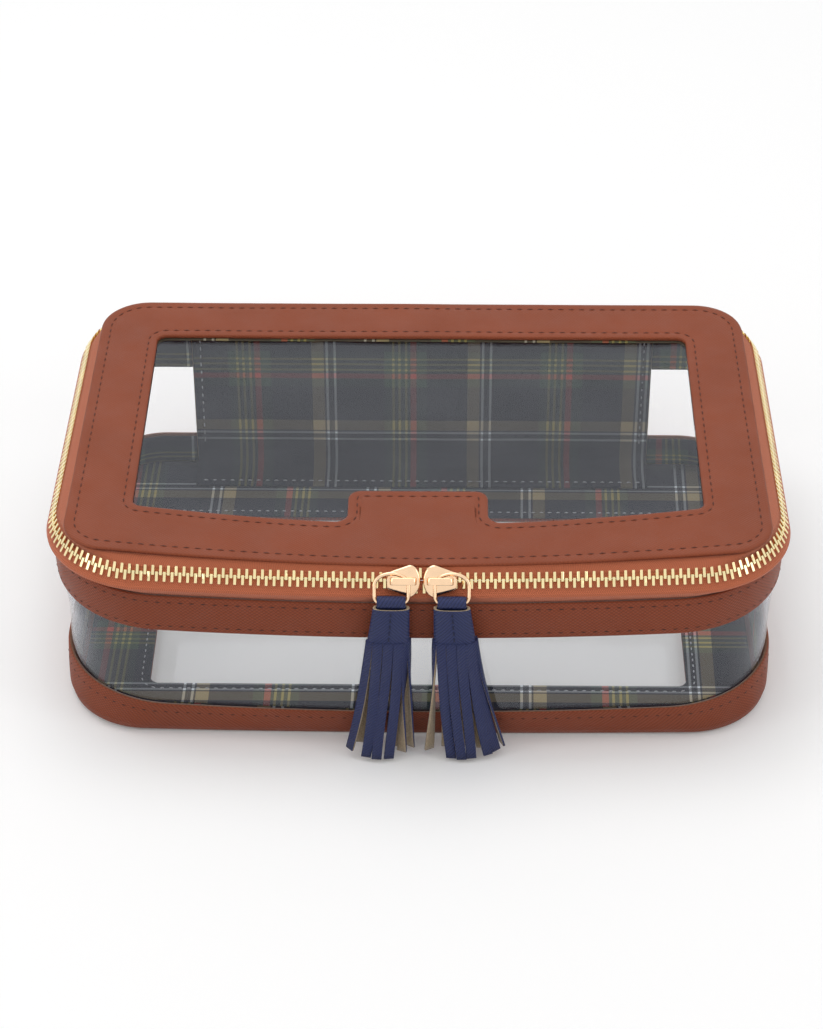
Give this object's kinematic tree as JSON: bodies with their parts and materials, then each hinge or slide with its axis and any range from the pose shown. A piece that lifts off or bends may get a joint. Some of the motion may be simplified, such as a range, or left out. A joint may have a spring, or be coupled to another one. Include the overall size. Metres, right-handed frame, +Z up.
{
  "type": "mahjong tile bag",
  "caption": "Soft-sided mahjong tile case with clear windows, a tartan lining, a zip-round lid and a tassel on each zipper pull.",
  "frame": {"origin": "on the surface that the case stands on, midway between the outer face of the back and the front of the tassels, and midway between the sides", "axes": "+X to the right seen from the front, +Y to the back, +Z up"},
  "size_m": [0.2586, 0.1793, 0.0775],
  "materials": {
    "cognac_leather": "cross-hatch embossed, semi-matt",
    "navy_leather": "cross-hatch embossed, semi-matt",
    "clear_vinyl": "clear, glossy, flexible",
    "tartan_fabric": "woven check, matt",
    "zipper_tape": "woven herringbone, matt",
    "zipper_brass": "polished, pale gold",
    "rose_gold_metal": "polished, light rose gold",
    "board": "plain board"
  },
  "bodies": {
    "case": {"base_frame": "cognac_leather", "base_window": "clear_vinyl", "base_lining": "tartan_fabric", "lower_band": "cognac_leather", "lower_band_lining": "tartan_fabric", "clear_wall": "clear_vinyl", "upper_band": "cognac_leather", "upper_band_lining": "tartan_fabric", "back_panel": "cognac_leather", "back_stiffener": "board", "back_lining": "tartan_fabric", "hinge_strip": "cognac_leather", "zipper_tape_lower": "zipper_tape", "zipper_teeth_lower": "zipper_brass", "zipper_end_stops": "zipper_brass"},
    "lid": {"lid_frame": "cognac_leather", "lid_window": "clear_vinyl", "lid_lining": "tartan_fabric", "zipper_tape_upper": "zipper_tape", "zipper_teeth_upper": "zipper_brass"},
    "slider_left": {"slider_left": "rose_gold_metal"},
    "ring_left": {"ring_left": "rose_gold_metal"},
    "tassel_left": {"tassel_left_loop": "navy_leather", "tassel_left_fringe": "navy_leather"},
    "slider_right": {"slider_right": "rose_gold_metal"},
    "ring_right": {"ring_right": "rose_gold_metal"},
    "tassel_right": {"tassel_right_loop": "navy_leather", "tassel_right_fringe": "navy_leather"}
  },
  "joints": [
    {"name": "lid_hinge", "type": "hinge", "parent": "case", "child": "lid", "pos_m": [0, 0.0884, 0.0756], "axis": [-1, 0, 0], "range_deg": [0, 180], "deforming": ["hinge_strip", "zipper_tape_upper", "zipper_teeth_upper"]},
    {"name": "slider_left_travel", "type": "hinge", "parent": "case", "child": "slider_left", "pos_m": [0, 1.17275, 0.0705], "axis": [0, 0, -1], "range_deg": [0, 3.77], "deforming": ["zipper_tape_lower", "zipper_teeth_lower", "zipper_tape_upper", "zipper_teeth_upper"]},
    {"name": "ring_left_turn", "type": "hinge", "parent": "slider_left", "child": "ring_left", "pos_m": [-0.0028, -0.0781, 0.07279], "axis": [0, 1, 0], "range_deg": [0, 35]},
    {"name": "tassel_left_swing", "type": "hinge", "parent": "ring_left", "child": "tassel_left", "pos_m": [-0.00849, -0.08209, 0.06687], "axis": [-1, 0, 0], "range_deg": [0, 100]},
    {"name": "slider_right_travel", "type": "hinge", "parent": "case", "child": "slider_right", "pos_m": [0, 1.17275, 0.0705], "axis": [0, 0, 1], "range_deg": [0, 3.77], "deforming": ["zipper_tape_lower", "zipper_teeth_lower", "zipper_tape_upper", "zipper_teeth_upper"]},
    {"name": "ring_right_turn", "type": "hinge", "parent": "slider_right", "child": "ring_right", "pos_m": [0.0062, -0.0781, 0.07279], "axis": [0, -1, 0], "range_deg": [0, 35]},
    {"name": "tassel_right_swing", "type": "hinge", "parent": "ring_right", "child": "tassel_right", "pos_m": [0.01189, -0.08209, 0.06687], "axis": [-1, 0, 0], "range_deg": [0, 100]}
  ]
}
